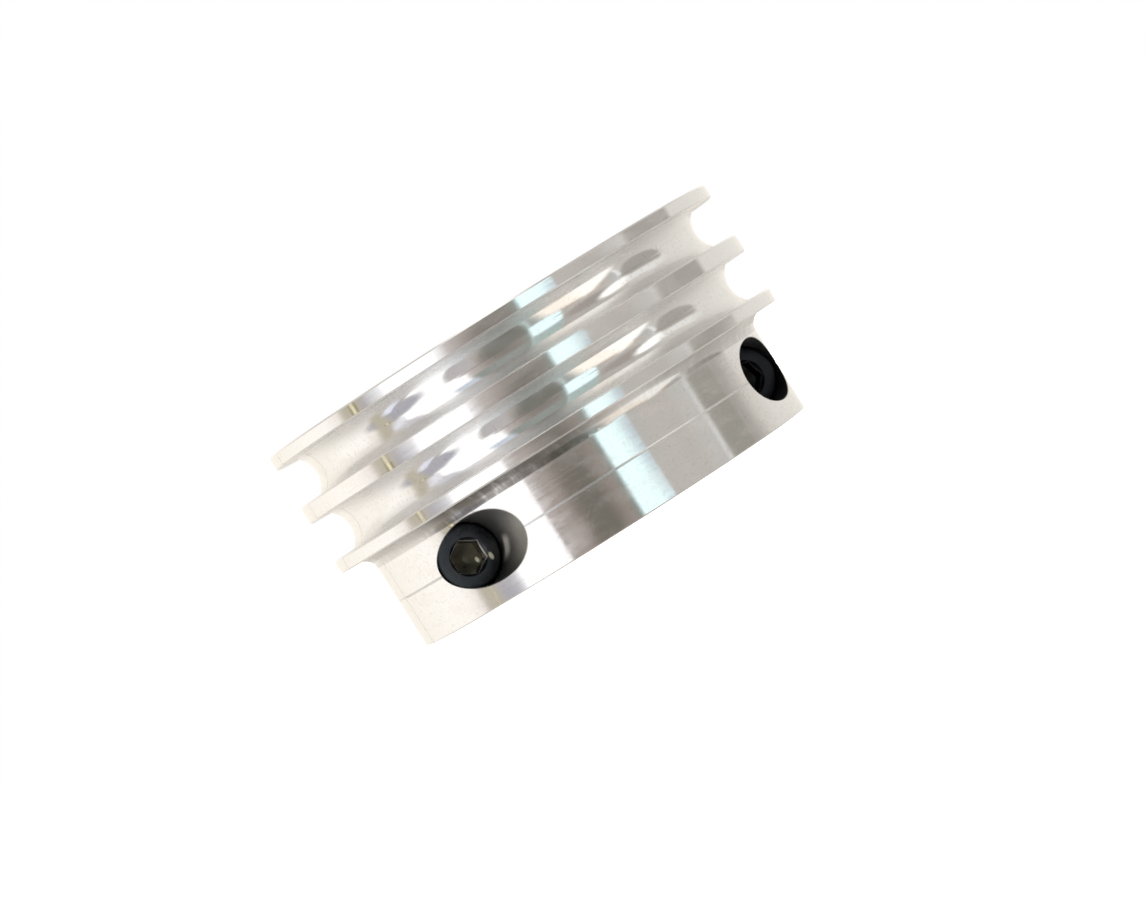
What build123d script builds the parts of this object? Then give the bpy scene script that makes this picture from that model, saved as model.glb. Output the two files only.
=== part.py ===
"""Two-piece clamp-on pulley with two round-bottomed belt grooves.

The pulley is split along a plane through its bore. Two M5 socket-head cap screws, sunk in
deep counterbores of the front half, pull the halves together on a shaft.

Frame: the origin is the centre of the hub's end face. +Z runs along the bore towards the
rims. The halves part on the XZ plane, and the screw heads face -Y. Sizes are millimetres.
"""

import os
from math import radians, sqrt, tan

from build123d import *

# Turned body
rim_diameter = 65.0
hub_diameter = 56.7
bore_diameter = 30.0
hub_length = 13.4
end_rim_width = 1.6
middle_rim_width = 2.0
parting_gap = 0.06

# Belt grooves
groove_width = 6.0
groove_root_radius = 3.7
groove_draft = 2.0

# Edge details
edge_break = 0.2
hub_chamfer = 0.15
bore_chamfer = 0.5
hub_fillet = 1.8
mouth_break = 0.15
scribe_width = 0.3
scribe_depth = 0.1

# M5 x 16 socket-head cap screws
screw_spacing = 43.2
screw_height = 7.0
thread_diameter = 5.0
shank_length = 16.0
shank_chamfer = 0.6
head_diameter = 8.5
head_height = 5.0
head_chamfer = 0.3
hex_across_flats = 4.0
hex_depth = 2.5
hex_entry_diameter = 5.0
hex_entry_depth = 0.7
hex_entry_angle = 45.0
left_hex_turn = 0.0
right_hex_turn = 18.0

# Screw holes
seat_depth = 5.6
counterbore_diameter = 8.8
clearance_diameter = 5.5
thread_clearance = 0.05
tapped_depth = 12.7
tap_entry_chamfer = 0.5
drill_point_angle = 118.0

# Derived sizes
rim_radius = rim_diameter / 2
hub_radius = hub_diameter / 2
bore_radius = bore_diameter / 2
scribe_height = hub_length / 2
inner_rim_start = hub_length
inner_groove_start = inner_rim_start + end_rim_width
middle_rim_start = inner_groove_start + groove_width
outer_groove_start = middle_rim_start + middle_rim_width
outer_rim_start = outer_groove_start + groove_width
total_length = outer_rim_start + end_rim_width
root_centre_radius = hub_radius + groove_root_radius
wall_top_radius = rim_radius - edge_break
wall_top_half_width = groove_width / 2 - edge_break


def wall_foot():
    """Radius and half width where a drafted groove wall meets the round root."""
    slope = tan(radians(groove_draft))
    half_width_at_centre = wall_top_half_width - (wall_top_radius - root_centre_radius) * slope
    # Depth below the root's centre at which the wall line crosses the root circle
    a = 1 + slope**2
    b = -2 * slope * half_width_at_centre
    c = half_width_at_centre**2 - groove_root_radius**2
    depth = (-b + sqrt(b**2 - 4 * a * c)) / (2 * a)
    return root_centre_radius - depth, half_width_at_centre - depth * slope


wall_foot_radius, wall_foot_half_width = wall_foot()


def groove_outline(start):
    """Draws one groove from its lower rim edge to its upper one: edge break, wall, round root and back."""
    middle = start + groove_width / 2
    lower_top = (wall_top_radius, middle - wall_top_half_width)
    upper_top = (wall_top_radius, middle + wall_top_half_width)
    Line((rim_radius, start), lower_top)
    Line(lower_top, (wall_foot_radius, middle - wall_foot_half_width))
    ThreePointArc(
        (wall_foot_radius, middle - wall_foot_half_width),
        (root_centre_radius - groove_root_radius, middle),
        (wall_foot_radius, middle + wall_foot_half_width),
    )
    Line((wall_foot_radius, middle + wall_foot_half_width), upper_top)
    Line(upper_top, (rim_radius, start + groove_width))


def turned_outline():
    """Draws the closed radial section of the pulley, from bore to rim, as (radius, height)."""
    hub = Polyline(
        (bore_radius + bore_chamfer, 0),
        (hub_radius - hub_chamfer, 0),
        (hub_radius, hub_chamfer),
        (hub_radius, hub_length - hub_fillet),
    )
    corner_reach = hub_fillet * (1 - sqrt(0.5))
    corner = ThreePointArc(
        hub @ 1,
        (hub_radius + corner_reach, hub_length - corner_reach),
        (hub_radius + hub_fillet, hub_length),
    )
    Polyline(
        corner @ 1,
        (rim_radius - edge_break, hub_length),
        (rim_radius, hub_length + edge_break),
        (rim_radius, inner_groove_start),
    )
    groove_outline(inner_groove_start)
    Line((rim_radius, middle_rim_start), (rim_radius, outer_groove_start))
    groove_outline(outer_groove_start)
    Polyline(
        (rim_radius, outer_rim_start),
        (rim_radius, total_length - edge_break),
        (rim_radius - edge_break, total_length),
        (bore_radius + bore_chamfer, total_length),
        (bore_radius, total_length - bore_chamfer),
        (bore_radius, bore_chamfer),
        (bore_radius + bore_chamfer, 0),
    )


def scribe_outline():
    """Draws the small V that the scribed line cuts round the middle of the hub."""
    Polyline(
        (hub_radius + scribe_depth, scribe_height - scribe_width),
        (hub_radius - scribe_depth, scribe_height),
        (hub_radius + scribe_depth, scribe_height + scribe_width),
        close=True,
    )


def screw_planes(depth):
    """Planes square to the two screw axes, facing the heads, at a depth in front of the split."""
    return [
        Plane(origin=(side * screw_spacing / 2, -depth, screw_height), x_dir=(1, 0, 0), z_dir=(0, -1, 0))
        for side in (-1, 1)
    ]


def save(piece, name):
    """Labels one finished piece and writes it as its own STEP file."""
    piece.part.label = name
    export_step(piece.part, f"parts/{name}.step")


os.makedirs("parts", exist_ok=True)


# Front half: holds the screw heads at the bottom of two counterbores.
with BuildPart() as counterbored_half:
    with BuildSketch(Plane.XZ):
        with BuildLine():
            turned_outline()
        make_face()
    revolve(axis=Axis.Z)
    split(bisect_by=Plane.XZ.offset(parting_gap / 2), keep=Keep.TOP)
    for mouth_plane in screw_planes(hub_radius):
        with Locations(mouth_plane):
            CounterBoreHole(
                radius=clearance_diameter / 2,
                counter_bore_radius=counterbore_diameter / 2,
                counter_bore_depth=hub_radius - seat_depth,
                depth=hub_radius,
            )
    mouths = counterbored_half.edges().filter_by(GeomType.BSPLINE).filter_by(lambda edge: edge.is_closed)
    chamfer(mouths, mouth_break)
    with BuildSketch(Plane.XZ):
        with BuildLine():
            scribe_outline()
        make_face()
    revolve(axis=Axis.Z, mode=Mode.SUBTRACT)
save(counterbored_half, "counterbored_half")


# Rear half: two blind tapped holes open on the split face, cut to the thread's crest.
with BuildPart() as tapped_half:
    with BuildSketch(Plane.XZ):
        with BuildLine():
            turned_outline()
        make_face()
    revolve(axis=Axis.Z)
    split(bisect_by=Plane.XZ.offset(-parting_gap / 2), keep=Keep.BOTTOM)
    hole_radius = thread_diameter / 2 + thread_clearance
    point_length = hole_radius / tan(radians(drill_point_angle / 2))
    for side in (-1, 1):
        with BuildSketch(Plane.XY.offset(screw_height)):
            with BuildLine():
                axis_x = side * screw_spacing / 2
                Polyline(
                    (axis_x, parting_gap / 2),
                    (axis_x + hole_radius + tap_entry_chamfer, parting_gap / 2),
                    (axis_x + hole_radius, parting_gap / 2 + tap_entry_chamfer),
                    (axis_x + hole_radius, tapped_depth),
                    (axis_x, tapped_depth + point_length),
                    close=True,
                )
            make_face()
        revolve(axis=Axis((axis_x, 0, screw_height), (0, 1, 0)), mode=Mode.SUBTRACT)
    with BuildSketch(Plane.XZ):
        with BuildLine():
            scribe_outline()
        make_face()
    revolve(axis=Axis.Z, mode=Mode.SUBTRACT)
save(tapped_half, "tapped_half")


# The two cap screws: heads on their seats, hexagon sockets facing -Y.
seat_planes = screw_planes(seat_depth)
for side_name, seat_plane, hex_turn in zip(("left", "right"), seat_planes, (left_hex_turn, right_hex_turn)):
    with BuildPart() as clamp_screw:
        with BuildSketch(seat_plane):
            Circle(head_diameter / 2)
        extrude(amount=head_height)
        chamfer(clamp_screw.faces().sort_by(Axis.Y)[0].edges(), head_chamfer)
        with BuildSketch(seat_plane):
            Circle(thread_diameter / 2)
        extrude(amount=-shank_length)
        chamfer(clamp_screw.faces().sort_by(Axis.Y)[-1].edges(), shank_chamfer)
        with BuildSketch(seat_plane.offset(head_height)):
            RegularPolygon(hex_across_flats / 2, 6, major_radius=False, rotation=90 + hex_turn)
        extrude(amount=-hex_depth, mode=Mode.SUBTRACT)
        with BuildSketch(seat_plane.offset(head_height)):
            Circle(hex_entry_diameter / 2)
        extrude(amount=-hex_entry_depth, taper=hex_entry_angle, mode=Mode.SUBTRACT)
    save(clamp_screw, f"clamp_screw_{side_name}")
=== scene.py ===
"""Looks of the two-piece clamp-on pulley: turned aluminium halves, black cap screws, studio and camera."""

from dataclasses import dataclass
from math import cos, pi, radians, sin, tau

import bmesh
import bpy
from mathutils import Matrix, Vector


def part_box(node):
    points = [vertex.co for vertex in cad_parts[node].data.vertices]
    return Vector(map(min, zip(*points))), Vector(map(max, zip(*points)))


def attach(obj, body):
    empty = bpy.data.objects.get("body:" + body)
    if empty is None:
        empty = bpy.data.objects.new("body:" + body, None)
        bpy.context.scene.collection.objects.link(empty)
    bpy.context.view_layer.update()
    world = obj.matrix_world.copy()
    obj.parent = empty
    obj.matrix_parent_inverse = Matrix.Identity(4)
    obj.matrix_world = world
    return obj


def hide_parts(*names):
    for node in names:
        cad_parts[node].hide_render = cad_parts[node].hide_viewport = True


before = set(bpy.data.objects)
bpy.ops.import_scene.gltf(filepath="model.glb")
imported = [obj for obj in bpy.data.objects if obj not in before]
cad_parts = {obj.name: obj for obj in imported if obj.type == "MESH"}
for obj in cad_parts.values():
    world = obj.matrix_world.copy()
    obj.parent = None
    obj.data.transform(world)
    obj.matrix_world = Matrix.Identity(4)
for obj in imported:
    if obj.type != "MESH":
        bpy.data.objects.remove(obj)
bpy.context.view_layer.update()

# Camera: it stands in front of the screw heads, a little to their left, at the first groove's height
EYE_TURN = radians(18.1)
EYE_DISTANCE = 0.528
EYE_HEIGHT = 0.0167
EYE_PITCH = radians(-0.7)
EYE_ROLL = radians(32.27)
FOCAL_LENGTH = 130.8

MM = 0.001

# Cap screws, in millimetres, measured from the seat under the head
THREAD_PITCH = 0.8
THREAD_RADIUS = 2.5
THREAD_DEPTH = 0.49
PLAIN_SHANK = 1.2
SHANK_LENGTH = 16.0
HEAD_RADIUS = 4.25
HEAD_HEIGHT = 5.0
HEAD_EDGE = 0.45            # radius of the rounded edge round the head's face
HEAD_EDGE_STEPS = 6
HEAD_MARGIN = 0.02          # how far the head stays inside the CAD one
KNURL_COUNT = 48
KNURL_DEPTH = 0.09
KNURL_STOP = 0.35           # plain stretch between the knurl and the rounded edge
KNURL_RUN_OUT = 0.15
HEX_FLATS = 4.0
HEX_DEPTH = 2.5
HEX_ENTRY_RADIUS = 2.48
THREAD_FLAT = 0.12          # share of half a pitch that is flat at the root, and again at the crest
THREAD_ROWS = 12            # rings along each turn of the thread
THREAD_RUN_IN = 0.6
SHANK_END = 0.9             # length of the bevelled end
SHANK_END_SLOPE = 0.75

# Places of the screws in millimetres, read from the frame
screw_low, screw_high = (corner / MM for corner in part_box("clamp_screw_right"))
SCREW_X = (screw_low.x + screw_high.x) / 2
SCREW_Z = (screw_low.z + screw_high.z) / 2
SEAT_Y = screw_low.y + HEAD_HEIGHT

# Places on the turned halves, in millimetres from the axis or from the hub's end face
HUB_RADIUS = 28.35
HOLE_EDGE = 4.4             # radius of the counterbores
HOLE_SHADE_FROM = -12.0     # y at which the painted shade on their walls begins to lift
HOLE_SHADE_TO = -24.0
GROOVE_TOP = 32.26          # radius just inside the rims' broken edges
LAST_GROOVE_END = 29.0
SCRIBE_HEIGHT = 6.7
SCRIBE_REACH = 0.17         # how far the scribed line's dullness goes to each side of it
CORNER_RADIUS = 30.4
CORNER_LOW = 11.5
CORNER_HIGH = 13.42
CORNER_SHADE_START = (radians(-158), radians(-142))    # angles over which the heavy painted corner shade comes in
CORNER_SHADE_END = (radians(-94), radians(-116))       # and over which it goes out

# Depth of the surface relief, in metres
SKIN_RELIEF = 0.0000022
OXIDE_RELIEF = 0.000006

# Colours of the aluminium, linear
CLEAN = [0.935, 0.935, 0.935, 1]
SMEARED = [0.89, 0.87, 0.86, 1]
MOTTLED = [0.79, 0.77, 0.75, 1]
SCRIBED = [0.50, 0.49, 0.48, 1]
HANDLED = [0.84, 0.84, 0.84, 1]
CUT_LINES = [0.78, 0.78, 0.78, 1]
# Painted shade for the corner under the first rim
CORNER_SHADE_COLOUR = [0.20, 0.18, 0.16, 1]
# Painted shade and painted light for the screw holes' walls, and their painted glint
SHADED_HOLE_WALL = [0.026, 0.026, 0.028, 1]
LIT_HOLE_WALL = [0.30, 0.285, 0.26, 1]
BORING_LINES = [0.12, 0.115, 0.11, 1]
PAINTED_HOLE_GLINT = [0.80, 0.76, 0.68, 1]


# ---------------------------------------------------------------- node helpers

class Nodes:
    """A thin wrapper that adds and links the nodes of one material or world."""

    def __init__(self, owner):
        owner.use_nodes = True
        self.tree = owner.node_tree
        self.tree.nodes.clear()

    def add(self, kind, **settings):
        node = self.tree.nodes.new(kind)
        for name, value in settings.items():
            setattr(node, name, value)
        return node

    def link(self, source, target):
        self.tree.links.new(source, target)

    def feed(self, socket, value):
        """Links a socket, or sets the constant on it."""
        if hasattr(value, "is_output"):
            self.link(value, socket)
        else:
            socket.default_value = value

    def math(self, operation, first, second=0.0, third=0.0):
        node = self.add("ShaderNodeMath", operation=operation)
        for socket, value in zip(node.inputs, (first, second, third)):
            self.feed(socket, value)
        return node.outputs[0]

    def total(self, first, *others):
        for other in others:
            first = self.math("ADD", first, other)
        return first

    def product(self, first, *others):
        for other in others:
            first = self.math("MULTIPLY", first, other)
        return first

    def length(self, first, second):
        """The length of a vector from its two components."""
        return self.math("SQRT", self.total(self.product(first, first), self.product(second, second)))

    def smooth(self, value, low, high, out_low=0.0, out_high=1.0):
        """Blends smoothly from out_low to out_high as value goes from low to high."""
        node = self.add("ShaderNodeMapRange", interpolation_type="SMOOTHSTEP")
        for socket, number in zip(node.inputs[:5], (value, low, high, out_low, out_high)):
            self.feed(socket, number)
        return node.outputs[0]

    def mix(self, factor, first, second):
        node = self.add("ShaderNodeMix", data_type="RGBA")
        sockets = (node.inputs[0], node.inputs[6], node.inputs[7])
        for socket, value in zip(sockets, (factor, first, second)):
            self.feed(socket, value)
        return node.outputs[2]

    def ramp(self, value, stops):
        node = self.add("ShaderNodeValToRGB")
        elements = node.color_ramp.elements
        while len(elements) < len(stops):
            elements.new(0.5)
        for element, (place, colour) in zip(elements, stops):
            element.position = place
            element.color = colour
        self.link(value, node.inputs[0])
        return node.outputs[0]

    def vector(self, x=0.0, y=0.0, z=0.0):
        node = self.add("ShaderNodeCombineXYZ")
        for socket, value in zip(node.inputs, (x, y, z)):
            self.feed(socket, value)
        return node.outputs[0]

    def noise(self, vector, scale, detail=2.0, roughness=0.5):
        node = self.add("ShaderNodeTexNoise")
        self.link(vector, node.inputs["Vector"])
        node.inputs["Scale"].default_value = scale
        node.inputs["Detail"].default_value = detail
        node.inputs["Roughness"].default_value = roughness
        return node.outputs["Fac"]

    def split(self, vector):
        node = self.add("ShaderNodeSeparateXYZ")
        self.link(vector, node.inputs[0])
        return node.outputs

    def bump(self, height, distance):
        node = self.add("ShaderNodeBump")
        node.inputs["Distance"].default_value = distance
        self.link(height, node.inputs["Height"])
        return node.outputs[0]

    def show(self, shader):
        """Ends a material with its shader."""
        output = self.add("ShaderNodeOutputMaterial")
        self.link(shader.outputs[0], output.inputs["Surface"])


def linear(part):
    """One channel of a screen colour, from 0 to 1, made linear."""
    return part / 12.92 if part <= 0.04045 else ((part + 0.055) / 1.055) ** 2.4


def screen(red, green, blue):
    """The linear colour of a screen colour given from 0 to 255."""
    return [linear(value / 255) for value in (red, green, blue)] + [1.0]


def glow(red, green, blue, gain=1.08):
    """A studio colour that looks like the given screen colour when it is mirrored in the aluminium."""
    return [part * gain for part in screen(red, green, blue)[:3]] + [1.0]


# ---------------------------------------------------------------- studio

def build_camera():
    data = bpy.data.cameras.new("camera")
    data.lens = FOCAL_LENGTH
    data.clip_start = 0.01
    camera = bpy.data.objects.new("camera", data)
    eye = Vector((-sin(EYE_TURN), -cos(EYE_TURN), 0)) * EYE_DISTANCE + Vector((0, 0, EYE_HEIGHT))
    aim = Matrix.Rotation(-EYE_TURN, 4, "Z") @ Matrix.Rotation(pi / 2 + EYE_PITCH, 4, "X")
    camera.matrix_world = Matrix.Translation(eye) @ aim @ Matrix.Rotation(-EYE_ROLL, 4, "Z")
    bpy.context.scene.collection.objects.link(camera)
    bpy.context.scene.camera = camera


WHITE = glow(255, 255, 254, 1.3)
CREAM = glow(250, 243, 233)

# The ring of studio walls at eye height: degrees to the right of the camera, and colour. The camera
# is at 0, which is what a surface square to it mirrors.
WALLS = (
    (-180, CREAM),
    (-150, glow(246, 240, 229)),
    (-112, glow(254, 249, 241)),
    (-95, glow(253, 248, 241)),
    (-85, glow(238, 231, 223)),
    (-77.5, glow(184, 175, 156)),
    (-72.5, glow(182, 172, 148)),
    (-68, glow(176, 171, 166)),
    (-63, glow(186, 184, 185)),
    (-56, glow(238, 236, 238)),
    (-52, WHITE),
    (-30, WHITE),
    (-26.5, glow(234, 230, 230)),
    (-23.5, glow(208, 203, 202)),
    (-20, glow(188, 181, 177)),
    (-12, glow(158, 149, 143)),
    (-6, glow(136, 130, 123)),
    (0, glow(130, 125, 118)),
    (10, glow(135, 132, 125)),
    (14.5, glow(143, 146, 140)),
    (17, glow(222, 252, 255, 1.12)),
    (21, glow(228, 252, 255)),
    (29, glow(208, 233, 246)),
    (33, glow(188, 197, 204)),
    (35, glow(180, 174, 168)),
    (46, glow(190, 186, 180)),
    (56, glow(186, 182, 176)),
    (72, glow(189, 187, 183)),
    (78, glow(212, 208, 202)),
    (108, glow(214, 210, 204)),
    (150, glow(226, 223, 215)),
    (180, CREAM),
)


@dataclass
class Card:
    """A soft-edged patch of light or shade in front of the studio walls, in degrees."""

    sides: tuple            # left and right, to the right of the camera
    ends: tuple             # bottom and top, above eye height
    soft: tuple             # how far its sides and its ends fade
    colour: list
    slant: float = 0.0      # how far it leans to the right per degree of height
    rise: float = 0.0       # how far its ends climb per degree to the right
    bow: float = 0.0        # how far its ends, 30 degrees up or down, curve to the right
    oval: bool = False


CARDS = (
    # Left: a bright window with a shaded corner under it, and a post beside it
    Card((-66, -23), (3, 75), (6, 12), WHITE),
    Card((-56, -30), (-54, 6), (6, 10), WHITE, slant=0.10),
    Card((-80, -62), (30, 48), (7, 9), glow(204, 202, 206)),
    Card((-74, -63), (7, 32), (4, 9), glow(226, 226, 232), bow=-6),
    Card((-90, -49), (-38, 1), (11, 8), glow(170, 168, 175), oval=True),
    Card((-66, -36), (-56, -37), (6, 7), WHITE),
    Card((-82, -72), (-44, -23), (3, 6), glow(226, 229, 240)),
    Card((-37, -18), (31, 66), (8, 11), glow(198, 205, 214)),
    Card((-33, -15), (-60, -6), (6, 9), glow(182, 178, 177), slant=0.12),
    Card((-82, -71.5), (-40, 40), (8, 16), glow(184, 177, 160), bow=-9),
    Card((-76.8, -72.4), (-0.55, 2.2), (1, 0.3), glow(146, 134, 100)),
    Card((-75.6, -73.8), (-0.55, 2.2), (0.8, 0.3), glow(240, 230, 198)),
    # Middle: the dull wall is paler above and dark below, and darkest where the hub mirrors it
    Card((-21, 15.2), (24, 84), (6, 10), glow(144, 148, 143)),
    Card((-12, 15.5), (-68, -5), (13, 8), glow(117, 117, 110)),
    Card((-26.6, 12), (-2.8, -0.42), (2.2, 0.3), glow(150, 138, 131)),
    Card((-13, 6), (-2.8, -0.42), (10, 0.3), glow(106, 101, 92)),
    # Middle right: a cool window, a duller stretch beside it at eye height, and dim light over and under
    Card((16, 34.8), (-15, 19), (2, 8), glow(234, 255, 255, 1.15)),
    Card((30, 37), (-2.2, 1.9), (8, 0.6), glow(188, 197, 204)),
    Card((34.5, 60), (-2.8, 2.6), (1.5, 1.2), glow(186, 181, 175)),
    Card((25, 42), (-0.52, -0.02), (4, 0.2), glow(166, 171, 169)),
    Card((15.2, 37), (22, 72), (2, 10), glow(170, 184, 179)),
    Card((15.5, 30), (-60, -17), (3, 7), glow(158, 163, 159), slant=-0.1),
    # Right: dull wall over a long warm table top, a small lamp and a dark chair
    Card((36, 70), (3, 31), (14, 10), glow(160, 152, 146), oval=True),
    Card((38, 64), (-15, -6), (14, 6), glow(190, 174, 160)),
    Card((26, 58), (-66, -13), (12, 11), glow(255, 246, 233, 1.12), rise=0.25),
    Card((50, 86), (-74, -23), (8, 10), glow(254, 252, 246, 1.15), rise=-0.9),
    Card((75.5, 108), (-29, 24), (5, 4), glow(163, 159, 152), oval=True),
    Card((62, 84), (6, 31), (7, 6), glow(255, 254, 250, 1.25), slant=-0.15, oval=True),
    Card((77, 110), (8, 24), (14, 8), glow(224, 222, 217)),
    Card((72, 74.5), (-29, -5), (1.5, 3), glow(226, 225, 224), slant=-0.12),
    # Right, in the narrow band that the hub mirrors: the chair's front, the wall by it, an upright edge
    Card((74.5, 92), (-2.8, -0.42), (3, 0.3), glow(148, 145, 136)),
    Card((101, 114), (-2.8, -0.42), (14, 0.3), glow(206, 202, 194)),
    Card((71, 73.6), (-2.8, -0.7), (1, 0.4), glow(208, 207, 204)),
)


def card_mask(nodes, card, turn, height):
    """How much of a card covers each direction, from 0 to 1."""
    (left, right), (bottom, top), (soft_side, soft_end) = card.sides, card.ends, card.soft
    middle = (left + right) / 2
    straight = turn
    if card.slant:
        turn = nodes.math("MULTIPLY_ADD", height, -card.slant, turn)
    if card.bow:
        turn = nodes.math("MULTIPLY_ADD", nodes.product(height, height), -card.bow / 30**2, turn)
    if card.rise:
        climb = nodes.math("MULTIPLY_ADD", straight, -card.rise, card.rise * middle)
        height = nodes.total(height, climb)
    if card.oval:
        off_level = nodes.math("SUBTRACT", height, (bottom + top) / 2)
        across = nodes.math("DIVIDE", nodes.math("SUBTRACT", turn, middle), (right - left) / 2)
        along = nodes.math("DIVIDE", off_level, (top - bottom) / 2)
        fade = soft_side / (right - left)
        return nodes.smooth(nodes.length(across, along), 1 + fade, 1 - fade)
    return nodes.product(
        nodes.smooth(turn, left - soft_side / 2, left + soft_side / 2),
        nodes.smooth(turn, right + soft_side / 2, right - soft_side / 2),
        nodes.smooth(height, bottom - soft_end / 2, bottom + soft_end / 2),
        nodes.smooth(height, top + soft_end / 2, top - soft_end / 2),
    )


def build_world():
    world = bpy.data.worlds.new("studio")
    bpy.context.scene.world = world
    nodes = Nodes(world)
    direction = nodes.add("ShaderNodeTexCoord").outputs["Generated"]
    turned = nodes.add("ShaderNodeVectorRotate", rotation_type="Z_AXIS")
    nodes.link(direction, turned.inputs["Vector"])
    turned.inputs["Angle"].default_value = EYE_TURN
    right, away, up = nodes.split(turned.outputs[0])
    turn = nodes.math("DEGREES", nodes.math("ARCTAN2", right, nodes.math("MULTIPLY", away, -1.0)))
    height = nodes.math("DEGREES", nodes.math("ARCSINE", up))

    # The walls fade towards one grey above and below eye height
    place = nodes.math("MULTIPLY_ADD", turn, 1 / 360, 0.5)
    walls = nodes.ramp(place, [(angle / 360 + 0.5, colour) for angle, colour in WALLS])
    dim = nodes.smooth(nodes.math("ABSOLUTE", nodes.math("SUBTRACT", height, 3.0)), 4, 48, 0.0, 0.62)
    studio = nodes.mix(dim, walls, glow(168, 163, 156))

    for card in CARDS:
        studio = nodes.mix(card_mask(nodes, card, turn, height), studio, card.colour)

    studio = nodes.mix(nodes.smooth(height, 74, 86), studio, glow(255, 253, 248, 1.1))
    studio = nodes.mix(nodes.smooth(height, -62, -84), studio, glow(168, 158, 150))
    seen = nodes.add("ShaderNodeLightPath").outputs["Is Camera Ray"]
    colour = nodes.mix(seen, studio, [1, 1, 1, 1])
    background = nodes.add("ShaderNodeBackground")
    nodes.link(colour, background.inputs["Color"])
    output = nodes.add("ShaderNodeOutputWorld")
    nodes.link(background.outputs[0], output.inputs["Surface"])


def build_floor():
    reach = 3.0
    mesh = bpy.data.meshes.new("floor")
    corners = [(-reach, -reach, 0), (reach, -reach, 0), (reach, reach, 0), (-reach, reach, 0)]
    mesh.from_pydata(corners, [], [(0, 1, 2, 3)])
    floor = bpy.data.objects.new("floor", mesh)
    bpy.context.scene.collection.objects.link(floor)
    paint = bpy.data.materials.new("pale_floor")
    nodes = Nodes(paint)
    shader = nodes.add("ShaderNodeBsdfPrincipled")
    shader.inputs["Base Color"].default_value = (0.9, 0.9, 0.9, 1)
    shader.inputs["Roughness"].default_value = 0.9
    shader.inputs["Specular IOR Level"].default_value = 0.0
    shader.inputs["Emission Color"].default_value = (1, 1, 1, 1)
    shader.inputs["Emission Strength"].default_value = 1.05
    nodes.show(shader)
    mesh.materials.append(paint)
    floor.visible_glossy = False


def build_lights():
    data = bpy.data.lights.new("overhead", "AREA")
    data.shape = "DISK"
    data.size = 0.9
    data.energy = 14.0
    light = bpy.data.objects.new("overhead", data)
    light.location = (0.0, 0.0, 0.8)
    light.visible_glossy = False
    bpy.context.scene.collection.objects.link(light)


# ---------------------------------------------------------------- materials

@dataclass
class Place:
    """Where a point of a turned half is, as shader values in millimetres and radians."""

    point: object
    x: object
    y: object
    z: object
    radius: object          # from the pulley's axis
    angle: object           # round the pulley's axis


def find_place(nodes):
    """The place of the point being shaded."""
    metres = nodes.add("ShaderNodeTexCoord").outputs["Object"]
    scaled = nodes.add("ShaderNodeVectorMath", operation="SCALE")
    nodes.link(metres, scaled.inputs[0])
    scaled.inputs["Scale"].default_value = 1 / MM
    point = scaled.outputs[0]
    x, y, z = nodes.split(point)
    return Place(point, x, y, z, nodes.length(x, y), nodes.math("ARCTAN2", y, x))


def hole_mask(nodes, place):
    """The walls and seats of the screw holes; the split faces are left out."""
    across = nodes.math("SUBTRACT", nodes.math("ABSOLUTE", place.x), SCREW_X)
    along = nodes.math("SUBTRACT", place.z, SCREW_Z)
    return nodes.product(
        nodes.smooth(nodes.length(across, along), HOLE_EDGE + 0.12, HOLE_EDGE + 0.02),
        nodes.smooth(place.radius, HUB_RADIUS - 0.02, HUB_RADIUS - 0.12),
        nodes.smooth(nodes.math("ABSOLUTE", place.y), 0.1, 0.4),
    )


def hole_shade_paint(nodes, place, freckles, bore_marks):
    """Painted shade and light on the hole walls: dark round the heads, lighter towards the mouths, on the
    bore's side and below the screws, with a painted glint on the bore's side.
    """
    towards_bore = nodes.math("SUBTRACT", SCREW_X, nodes.math("ABSOLUTE", place.x))
    above_screw = nodes.math("SUBTRACT", place.z, SCREW_Z)
    # Painted light and shade: lighter towards the mouths, on the bore's side and below the screws, darker
    # near the heads
    lit_wall = nodes.product(
        nodes.smooth(nodes.math("MULTIPLY_ADD", freckles, -3.0, place.y), HOLE_SHADE_FROM, HOLE_SHADE_TO),
        nodes.smooth(towards_bore, 1.2, 4.3, 0.04, 1.0),
        nodes.smooth(above_screw, 3.4, -0.8, 0.15, 1.25),
    )
    leaning_depth = nodes.math("MULTIPLY_ADD", above_screw, 0.5, place.y)
    # A painted highlight on the bore's side of each hole
    painted_glint = nodes.product(
        nodes.smooth(leaning_depth, -15.6, -13.6),
        nodes.smooth(leaning_depth, -11.8, -13.0),
        nodes.smooth(above_screw, -3.1, -1.7),
        nodes.smooth(above_screw, 0.4, -0.8),
        nodes.smooth(towards_bore, 2.4, 3.4),
    )
    colour = nodes.mix(lit_wall, SHADED_HOLE_WALL, LIT_HOLE_WALL)
    colour = nodes.mix(nodes.product(bore_marks, 0.3), colour, BORING_LINES)
    return nodes.mix(nodes.product(painted_glint, 0.8), colour, PAINTED_HOLE_GLINT)


def painted_corner_shade(nodes, place, on_outside, streaks):
    """Painted shade in the corner under the first rim, most of it beside the left screw."""
    in_corner = nodes.product(
        on_outside,
        nodes.smooth(place.radius, CORNER_RADIUS, CORNER_RADIUS - 0.4),
        nodes.smooth(place.z, CORNER_LOW, CORNER_LOW + 0.25),
        nodes.smooth(place.z, CORNER_HIGH, CORNER_HIGH - 0.1),
    )
    beside_screw = nodes.product(
        nodes.smooth(place.angle, *CORNER_SHADE_START),
        nodes.smooth(place.angle, *CORNER_SHADE_END),
    )
    corner_shade = nodes.product(in_corner, nodes.math("MULTIPLY_ADD", beside_screw, 0.55, 0.3))
    return nodes.product(corner_shade, nodes.smooth(streaks, 0.3, 0.55, 0.7, 1.0))


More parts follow.
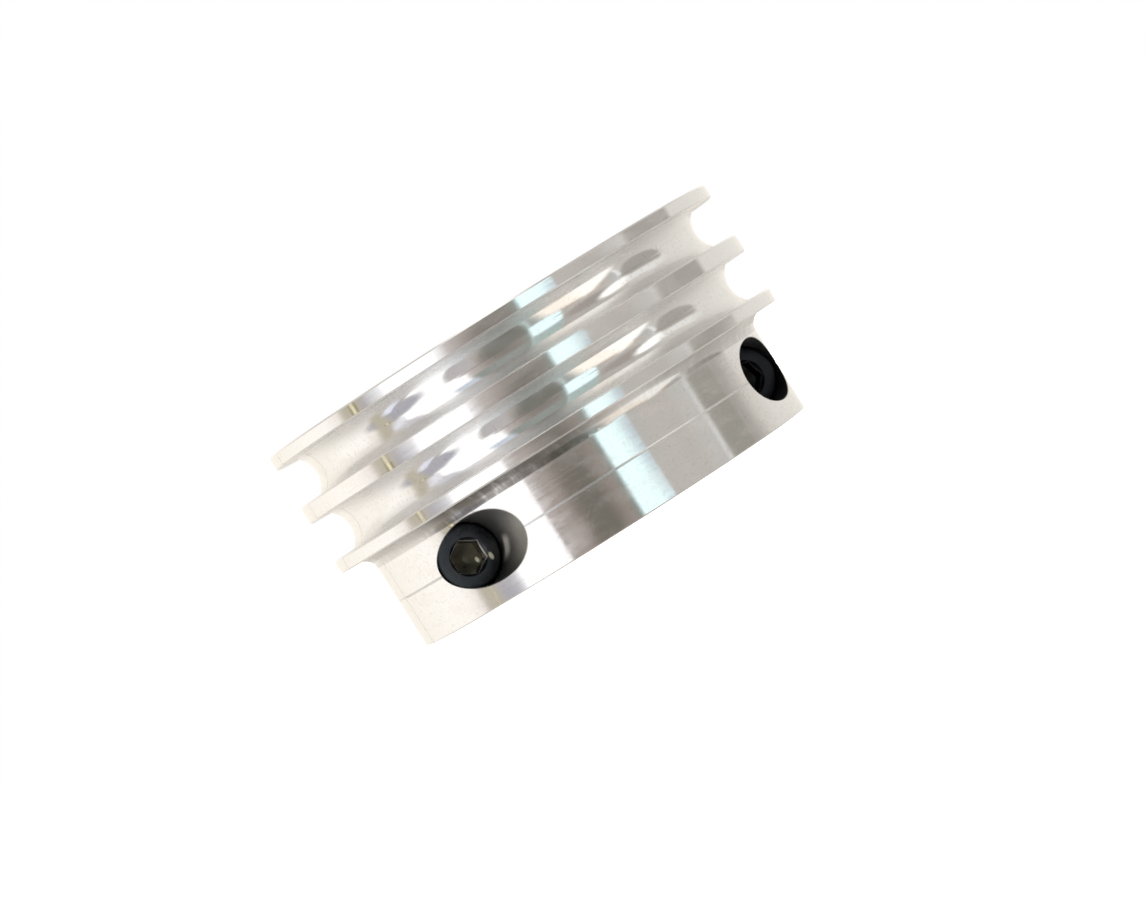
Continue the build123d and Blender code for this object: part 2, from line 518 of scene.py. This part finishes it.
def dull_mask(nodes, place):
    """The steep walls of the grooves and corner, and the rims' lower edges, duller than the rest."""
    facing_up = nodes.split(nodes.add("ShaderNodeTexCoord").outputs["Normal"])[2]
    upper = nodes.product(
        nodes.smooth(facing_up, 0.42, 0.8),
        nodes.smooth(place.radius, GROOVE_TOP, GROOVE_TOP - 0.15),
    )
    return nodes.product(
        nodes.math("ADD", upper, nodes.smooth(facing_up, -0.42, -0.65)),
        nodes.smooth(place.z, CORNER_LOW - 0.2, CORNER_LOW),
        nodes.smooth(place.z, LAST_GROOVE_END + 0.3, LAST_GROOVE_END + 0.2),
    )


def turned_aluminium(name):
    """Bright turned aluminium: lathe marks round the axis, faint smears, painted shade in the corner under
    the first rim, and bored holes with painted shade near the heads and a painted glint.
    """
    material = bpy.data.materials.new(name)
    nodes = Nodes(material)
    place = find_place(nodes)

    # Lathe marks run round the axis, so they vary fast along the profile and hardly round it
    profile = nodes.vector(place.radius, place.z, nodes.product(place.angle, 0.35))
    fine_marks = nodes.noise(profile, 7.0, detail=3.0, roughness=0.6)
    broad_marks = nodes.noise(profile, 1.3, detail=1.0)

    # Smears and rubbed patches, drawn out a little round the axis, and handling marks along it
    skin = nodes.vector(nodes.product(place.angle, 11.0), place.z, nodes.product(place.radius, 0.6))
    patches = nodes.noise(skin, 0.42, detail=4.0, roughness=0.62)
    freckles = nodes.noise(place.point, 1.9, detail=2.0, roughness=0.6)
    upright = nodes.vector(
        nodes.product(place.angle, 46.0), nodes.product(place.z, 0.5), nodes.product(place.radius, 0.5)
    )
    streaks = nodes.noise(upright, 0.8, detail=3.0, roughness=0.6)
    smears = nodes.smooth(patches, 0.46, 0.66)
    spots = nodes.smooth(freckles, 0.53, 0.72)

    # Boring marks run round the screw holes
    in_hole = hole_mask(nodes, place)
    outside = nodes.math("SUBTRACT", 1.0, in_hole)
    spiral = nodes.add("ShaderNodeTexWave", wave_type="BANDS", bands_direction="Y", wave_profile="SIN")
    nodes.link(place.point, spiral.inputs["Vector"])
    spiral.inputs["Scale"].default_value = 1.1
    spiral.inputs["Distortion"].default_value = 0.6
    bore_marks = spiral.outputs["Fac"]

    on_outside = nodes.smooth(place.radius, HUB_RADIUS - 0.6, HUB_RADIUS - 0.4)
    corner_shade = painted_corner_shade(nodes, place, on_outside, streaks)
    dull = dull_mask(nodes, place)
    on_hub = nodes.product(
        on_outside,
        nodes.smooth(place.radius, HUB_RADIUS + 0.3, HUB_RADIUS + 0.1),
        outside,
    )
    off_scribe = nodes.math("ABSOLUTE", nodes.math("SUBTRACT", place.z, SCRIBE_HEIGHT))
    in_scribe = nodes.product(on_hub, nodes.smooth(off_scribe, SCRIBE_REACH, SCRIBE_REACH - 0.04))

    mottling = nodes.product(spots, nodes.math("MULTIPLY_ADD", on_hub, 0.35, 0.25))
    skin_colour = nodes.mix(smears, CLEAN, SMEARED)
    skin_colour = nodes.mix(mottling, skin_colour, MOTTLED)
    skin_colour = nodes.mix(nodes.product(in_scribe, 0.1), skin_colour, SCRIBED)
    skin_colour = nodes.mix(nodes.smooth(streaks, 0.56, 0.74, 0.0, 0.15), skin_colour, HANDLED)
    skin_colour = nodes.mix(nodes.smooth(fine_marks, 0.38, 0.24, 0.0, 0.5), skin_colour, CUT_LINES)
    # Painted shade in the corner under the first rim
    skin_colour = nodes.mix(corner_shade, skin_colour, CORNER_SHADE_COLOUR)
    # The screw holes take painted shade and a painted glint in place of the skin's colour
    colour = nodes.mix(in_hole, skin_colour, hole_shade_paint(nodes, place, freckles, bore_marks))

    skin_roughness = nodes.total(
        nodes.smooth(smears, 0.0, 1.0, 0.05, 0.085),
        nodes.product(fine_marks, 0.035),
        nodes.product(spots, 0.015),
        nodes.product(corner_shade, 0.2),
        nodes.product(dull, 0.24),
        nodes.product(in_scribe, 0.32),
    )
    hole_roughness = nodes.math("MULTIPLY_ADD", bore_marks, 0.06, 0.48)
    blend = nodes.add("ShaderNodeMix", data_type="FLOAT")
    factor, first, second = blend.inputs[0], blend.inputs[2], blend.inputs[3]
    nodes.link(in_hole, factor)
    nodes.link(skin_roughness, first)
    nodes.link(hole_roughness, second)
    roughness = blend.outputs[0]

    height = nodes.total(
        nodes.product(fine_marks, outside, 0.7),
        nodes.product(broad_marks, outside, 1.6),
        nodes.product(patches, outside, 2.8),
        nodes.product(freckles, 0.4),
        nodes.product(bore_marks, in_hole, 2.0),
    )
    film = nodes.total(
        nodes.product(smears, 0.05),
        nodes.product(spots, 0.03),
        nodes.product(in_hole, 0.65),
    )

    shader = nodes.add("ShaderNodeBsdfPrincipled")
    nodes.link(nodes.math("SUBTRACT", 1.0, film), shader.inputs["Metallic"])
    shader.inputs["Anisotropic"].default_value = 0.75
    shader.inputs["Anisotropic Rotation"].default_value = 0.25
    tangent = nodes.add("ShaderNodeTangent", direction_type="RADIAL", axis="Z")
    nodes.link(tangent.outputs[0], shader.inputs["Tangent"])
    nodes.link(colour, shader.inputs["Base Color"])
    nodes.link(roughness, shader.inputs["Roughness"])
    nodes.link(nodes.bump(height, SKIN_RELIEF), shader.inputs["Normal"])
    nodes.show(shader)
    return material


@dataclass
class Screw:
    """One cap screw: its place, its finish as screen colours with painted light in them, and how strong
    its painted highlight and glints are.
    """

    word: str
    side: int               # -1 to the left of the bore, 1 to its right
    hex_turn: float
    dark: tuple
    pale: tuple
    speckled: tuple
    socket_reflection: tuple            # painted warm reflection inside the socket
    oil: float
    edge_highlight: float
    # How strong the painted highlight on the hexagon's edge and the painted glints are
    glint_strength: float


# The left screw's colours are painted lighter than the right one's, as painted light, and only it has
# strong painted highlights and glints
SCREWS = (
    Screw(
        "left", -1, 0.0,
        dark=(49, 50, 56), pale=(68, 68, 72), speckled=(116, 110, 98), socket_reflection=(104, 98, 80),
        oil=0.25, edge_highlight=0.85, glint_strength=0.95,
    ),
    Screw(
        "right", 1, radians(18),
        dark=(24, 26, 32), pale=(34, 35, 40), speckled=(52, 50, 48), socket_reflection=(30, 28, 26),
        oil=0.08, edge_highlight=0.12, glint_strength=0.0,
    ),
)


def socket_highlights(nodes, metres, screw, cloud):
    """Painted light round the socket: a painted highlight on the hexagon's edge, a painted reflection
    inside the socket, and two small painted glints.
    """
    x, y, z = nodes.split(metres)
    right = nodes.math("SUBTRACT", nodes.math("DIVIDE", x, MM), screw.side * SCREW_X)
    up = nodes.math("SUBTRACT", nodes.math("DIVIDE", z, MM), SCREW_Z)
    depth = nodes.math("SUBTRACT", nodes.math("DIVIDE", y, MM), SEAT_Y - HEAD_HEIGHT)
    distance = nodes.length(right, up)

    # A painted highlight on the hexagon's edge: near its outline, and no deeper than where the entry cone
    # meets it
    angle = nodes.math("ADD", nodes.math("ARCTAN2", up, right), tau + pi / 6 - screw.hex_turn)
    sector = nodes.math("SUBTRACT", nodes.math("MODULO", angle, pi / 3), pi / 6)
    outline = nodes.math("DIVIDE", HEX_FLATS / 2, nodes.math("COSINE", sector))
    off_outline = nodes.math("ABSOLUTE", nodes.math("SUBTRACT", distance, outline))
    under_cone = nodes.math("SUBTRACT", nodes.total(depth, distance), HEX_ENTRY_RADIUS)
    edge = nodes.product(
        nodes.smooth(off_outline, 0.15, 0.08),
        nodes.smooth(under_cone, 0.2, 0.12),
        nodes.smooth(cloud, 0.3, 0.5, 0.35, 1.0),
    )
    # Inside the socket, which takes a painted warm reflection
    inside = nodes.product(nodes.smooth(distance, 2.45, 2.3), nodes.smooth(depth, 0.5, 0.8))

    def glint_spot(across, along, width, length):
        """One ragged painted glint: its middle from the screw's axis, and its half width and half length.
        """
        ragged = nodes.math("MULTIPLY_ADD", cloud, 0.9, -0.45)
        first = nodes.math("DIVIDE", nodes.math("SUBTRACT", right, across), width)
        second = nodes.math("DIVIDE", nodes.math("SUBTRACT", up, along), length)
        return nodes.smooth(nodes.total(nodes.length(first, second), ragged), 1.0, 0.5)

    # Two painted glints: one on the head's face, one deep in the socket
    face_glint = nodes.product(glint_spot(2.5, -1.30, 0.34, 0.66), nodes.smooth(depth, 0.3, 0.1))
    socket_glint = nodes.product(glint_spot(1.45, -0.9, 0.26, 0.45), nodes.smooth(depth, 2.0, 2.4))
    return edge, inside, nodes.math("MAXIMUM", face_glint, socket_glint)


def black_oxide(screw):
    """Black-oxide steel with a thin oily sheen, and painted light round the socket."""
    material = bpy.data.materials.new(f"black_oxide_{screw.word}")
    nodes = Nodes(material)
    metres = nodes.add("ShaderNodeTexCoord").outputs["Object"]
    grain = nodes.noise(metres, 2600.0, detail=3.0, roughness=0.6)
    cloud = nodes.noise(metres, 420.0, detail=3.0, roughness=0.6)
    edge, inside, painted_glints = socket_highlights(nodes, metres, screw, cloud)
    colour = nodes.mix(nodes.smooth(cloud, 0.35, 0.7), screen(*screw.dark), screen(*screw.pale))
    colour = nodes.mix(nodes.smooth(grain, 0.62, 0.78, 0.0, 0.6), colour, screen(*screw.speckled))
    # Painted light: a warm reflection inside the socket, a highlight on the hexagon's edge and two glints
    colour = nodes.mix(nodes.product(inside, 0.8), colour, screen(*screw.socket_reflection))
    colour = nodes.mix(nodes.product(edge, screw.edge_highlight), colour, screen(206, 204, 200))
    colour = nodes.mix(nodes.product(painted_glints, screw.glint_strength), colour, screen(246, 236, 212))

    shader = nodes.add("ShaderNodeBsdfPrincipled")
    shader.inputs["Metallic"].default_value = 0.85
    shader.inputs["Coat Weight"].default_value = screw.oil
    shader.inputs["Coat Roughness"].default_value = 0.2
    nodes.link(colour, shader.inputs["Base Color"])
    nodes.link(nodes.smooth(cloud, 0.3, 0.7, 0.26, 0.4), shader.inputs["Roughness"])
    height = nodes.total(nodes.product(grain, 0.6), cloud)
    nodes.link(nodes.bump(height, OXIDE_RELIEF), shader.inputs["Normal"])
    nodes.show(shader)
    return material


def dress(node, material):
    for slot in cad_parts[node].material_slots:
        slot.material = material


# ---------------------------------------------------------------- cap screws

def lathe(mesh, rings, turns):
    """Joins rings of points, all with the same count, into a closed tube of quads."""
    rows = [[mesh.verts.new(point) for point in points] for points in rings]
    for low, high in zip(rows, rows[1:]):
        for step in range(turns):
            following = (step + 1) % turns
            mesh.faces.new((low[step], low[following], high[following], high[step]))
    return rows


def knurl_radius(angle, depth):
    """Head radius at an angle, with a rolled straight knurl cut to the given depth."""
    wave = abs(sin(angle * KNURL_COUNT / 2))
    return HEAD_RADIUS - depth * (1 - wave)


def hexagon_radius(angle):
    """Distance from the axis to the hexagon's side, at an angle."""
    sector = (angle + pi / 6) % (pi / 3) - pi / 6
    return HEX_FLATS / 2 / cos(sector)


def point_at(angle, radius, height):
    """A point from its angle and distance round the screw's axis, and its height over the seat."""
    return Vector((radius * cos(angle), radius * sin(angle), height))


def ring_angles(turns):
    return [tau * step / turns for step in range(turns)]


def ring(turns, height, radius_at):
    """A level ring of points, whose distance from the screw's axis may vary round it."""
    return [point_at(angle, radius_at(angle), height) for angle in ring_angles(turns)]


def head_rings(turns):
    """Rings of the head from the shank out, up the knurl, over the face and down the hexagon socket."""

    def level(height, radius):
        return ring(turns, height, lambda angle: radius)

    # The underside, with a small bevel round it
    rings = [
        level(0.0, THREAD_RADIUS),
        level(0.0, HEAD_RADIUS - 0.3),
        level(0.12, HEAD_RADIUS - 0.1),
    ]
    knurl_top = HEAD_HEIGHT - HEAD_EDGE - KNURL_STOP
    for height, depth in ((0.3, KNURL_DEPTH), (knurl_top - KNURL_RUN_OUT, KNURL_DEPTH), (knurl_top, 0.0)):
        rings.append(ring(turns, height, lambda angle: knurl_radius(angle, depth) - HEAD_MARGIN))
    for step in range(HEAD_EDGE_STEPS + 1):
        bend = pi / 2 * step / HEAD_EDGE_STEPS
        edge_radius = HEAD_RADIUS - HEAD_EDGE * (1 - cos(bend)) - HEAD_MARGIN
        rings.append(level(HEAD_HEIGHT - HEAD_EDGE * (1 - sin(bend)), edge_radius))
    rings.append(level(HEAD_HEIGHT, HEX_ENTRY_RADIUS + 0.25))
    rings.append(level(HEAD_HEIGHT - 0.01, HEX_ENTRY_RADIUS))

    # The entry cone meets each flat lower down than each corner
    rings.append([
        point_at(angle, hexagon_radius(angle), HEAD_HEIGHT - (HEX_ENTRY_RADIUS - hexagon_radius(angle)))
        for angle in ring_angles(turns)
    ])

    # The flats, and the drill's cone at the bottom of the socket
    floor = HEAD_HEIGHT - HEX_DEPTH
    rings.append(ring(turns, floor, hexagon_radius))
    rings.append(level(floor - 0.05, HEX_FLATS / 2 - 0.12))
    rings.append(level(floor - 0.45, 0.9))
    rings.append(level(floor - 0.7, 0.02))
    return rings


def thread_radius(angle, depth_below_seat):
    """Radius of the shank: a thread of about 60 degrees that starts under a plain stretch."""
    if depth_below_seat < PLAIN_SHANK:
        return THREAD_RADIUS
    turns_along = depth_below_seat / THREAD_PITCH + angle / tau
    phase = turns_along % 1.0
    flank = abs(2 * phase - 1)
    profile = min(1.0, max(0.0, (flank - THREAD_FLAT) / (1 - 2 * THREAD_FLAT)))
    run_in = min(1.0, (depth_below_seat - PLAIN_SHANK) / THREAD_RUN_IN)
    run_out = max(0.0, depth_below_seat - (SHANK_LENGTH - SHANK_END))
    threaded = THREAD_RADIUS - THREAD_DEPTH * (1 - profile) * run_in
    return min(threaded, THREAD_RADIUS - run_out * SHANK_END_SLOPE)


def shank_rings(turns):
    """Rings of the shank from under the head to its bevelled end."""
    rows = round(SHANK_LENGTH / THREAD_PITCH * THREAD_ROWS)
    depths = [SHANK_LENGTH * row / rows for row in range(rows + 1)]
    return [ring(turns, -depth, lambda angle: thread_radius(angle, depth)) for depth in depths]


def build_screw(screw):
    """One M5 cap screw in real detail, standing for its plain CAD node."""
    mesh = bmesh.new()
    head_turns = KNURL_COUNT * 6
    head = lathe(mesh, head_rings(head_turns), head_turns)
    mesh.faces.new(head[-1])
    shank_turns = 48
    shank = lathe(mesh, shank_rings(shank_turns), shank_turns)
    mesh.faces.new(shank[-1])
    bmesh.ops.recalc_face_normals(mesh, faces=mesh.faces)

    seat = Vector((screw.side * SCREW_X, SEAT_Y, SCREW_Z)) * MM
    upright = Matrix.Rotation(pi / 2, 4, "X") @ Matrix.Rotation(screw.hex_turn, 4, "Z")
    mesh.transform(Matrix.Translation(seat) @ upright @ Matrix.Scale(MM, 4))
    data = bpy.data.meshes.new(f"cap_screw_{screw.word}")
    mesh.to_mesh(data)
    mesh.free()
    data.materials.append(black_oxide(screw))
    for face in data.polygons:
        face.use_smooth = True
    data.set_sharp_from_angle(angle=radians(35))
    piece = bpy.data.objects.new(f"cap_screw_{screw.word}", data)
    bpy.context.scene.collection.objects.link(piece)
    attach(piece, f"screw_{screw.word}")
    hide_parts(f"clamp_screw_{screw.word}")


# ---------------------------------------------------------------- scene

build_camera()
build_world()
build_floor()
build_lights()
for half in ("tapped_half", "counterbored_half"):
    dress(half, turned_aluminium(f"{half}_aluminium"))
for screw in SCREWS:
    build_screw(screw)

bpy.context.scene.view_settings.view_transform = "Standard"
